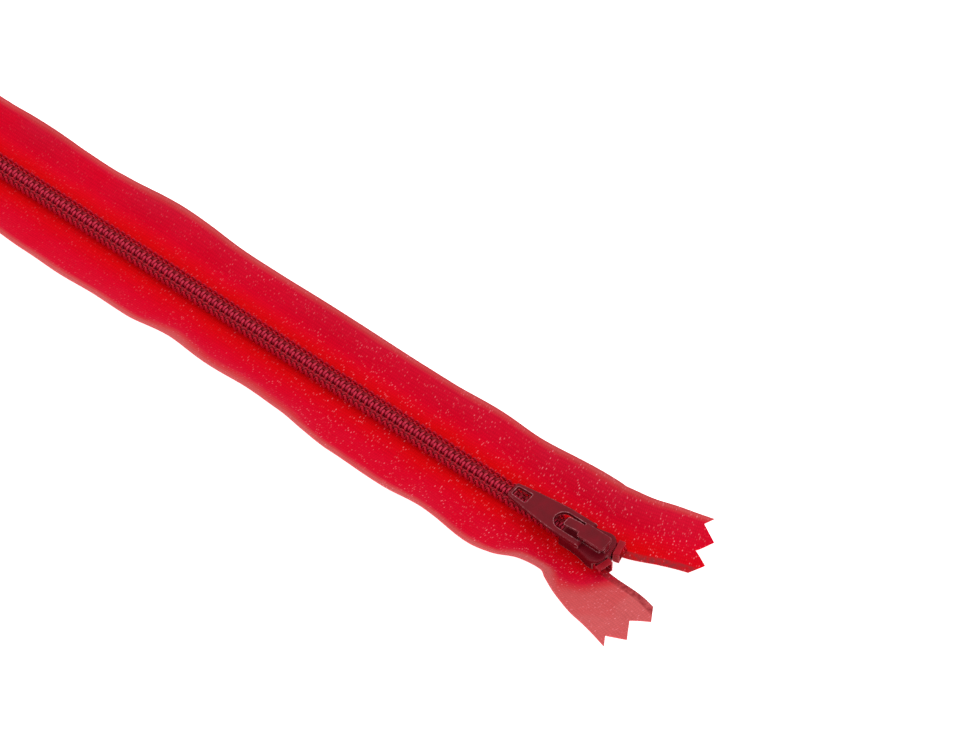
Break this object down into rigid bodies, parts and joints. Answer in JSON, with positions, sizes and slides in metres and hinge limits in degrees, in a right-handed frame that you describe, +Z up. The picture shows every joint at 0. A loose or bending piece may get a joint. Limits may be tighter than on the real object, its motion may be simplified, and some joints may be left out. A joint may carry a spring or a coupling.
{
  "type": "zipper",
  "caption": "Closed-end nylon coil zipper: woven tapes with pinked ends, interlocking coils, stops, and an enamelled auto-lock slider with a windowed pull tab.",
  "frame": {"origin": "middle of the zipper's length, on its centreline, on the surface that it lies on", "axes": "+X along the chain from the bottom stop to the top end, +Y to the left tape, +Z up out of the face that carries the coils"},
  "size_m": [0.2088, 0.0338, 0.0057],
  "materials": {
    "tape_weave": "woven polyester tape, bright red, slight sheen, faintly translucent",
    "coil_monofilament": "dyed polyester monofilament, crimson, satin",
    "filler_cord": "twisted polyester cord, crimson",
    "sewing_thread": "twisted polyester thread, red",
    "slider_enamel": "dark maroon baked enamel over cast zinc, rubbed lighter along the edges",
    "stop_enamel": "crimson enamel over pressed metal",
    "spring_enamel": "dark maroon enamel over spring steel"
  },
  "bodies": {
    "chain_end": {"bottom_stop": "stop_enamel"},
    "slider": {"slider_body": "slider_enamel", "slider_cap": "slider_enamel"},
    "lock": {"lock_spring": "spring_enamel"},
    "pull": {"pull_tab": "slider_enamel"},
    "left_side": {"left_tape": "tape_weave", "left_coil": "coil_monofilament", "left_filler_cord": "filler_cord", "left_inner_seam": "sewing_thread", "left_outer_seam": "sewing_thread", "left_looper_thread": "sewing_thread", "left_top_stop": "stop_enamel"},
    "right_side": {"right_tape": "tape_weave", "right_coil": "coil_monofilament", "right_filler_cord": "filler_cord", "right_inner_seam": "sewing_thread", "right_outer_seam": "sewing_thread", "right_looper_thread": "sewing_thread", "right_top_stop": "stop_enamel"}
  },
  "joints": [
    {"name": "slider_travel", "type": "slide", "parent": "chain_end", "child": "slider", "axis": [-1, 0, 0], "range_m": [0, 0.1661]},
    {"name": "left_side_spread", "type": "hinge", "parent": "chain_end", "child": "left_side", "pos_m": [-0.0883, 0, 0], "axis": [0, 0, 1], "range_deg": [0, 4.01], "deforming": ["left_tape", "left_coil", "left_filler_cord", "left_inner_seam", "left_outer_seam", "left_looper_thread"]},
    {"name": "right_side_spread", "type": "hinge", "parent": "chain_end", "child": "right_side", "pos_m": [-0.0883, 0, 0], "axis": [0, 0, -1], "range_deg": [0, 4.01], "deforming": ["right_tape", "right_coil", "right_filler_cord", "right_inner_seam", "right_outer_seam", "right_looper_thread"]},
    {"name": "pull_swing", "type": "hinge", "parent": "slider", "child": "pull", "pos_m": [0.0844, 0, 0.00434], "axis": [0, 1, 0], "range_deg": [0, 175]},
    {"name": "lock_lift", "type": "hinge", "parent": "slider", "child": "lock", "pos_m": [0.0877, 0, 0.00481], "axis": [0, 1, 0], "range_deg": [0, 5.21]}
  ],
  "couplings": [
    {"joint": "left_side_spread", "follows": "slider_travel", "rad_per_m": 0.42031},
    {"joint": "right_side_spread", "follows": "slider_travel", "rad_per_m": 0.42031},
    {"joint": "lock_lift", "follows": "pull_swing", "ratio": 0.029714}
  ]
}
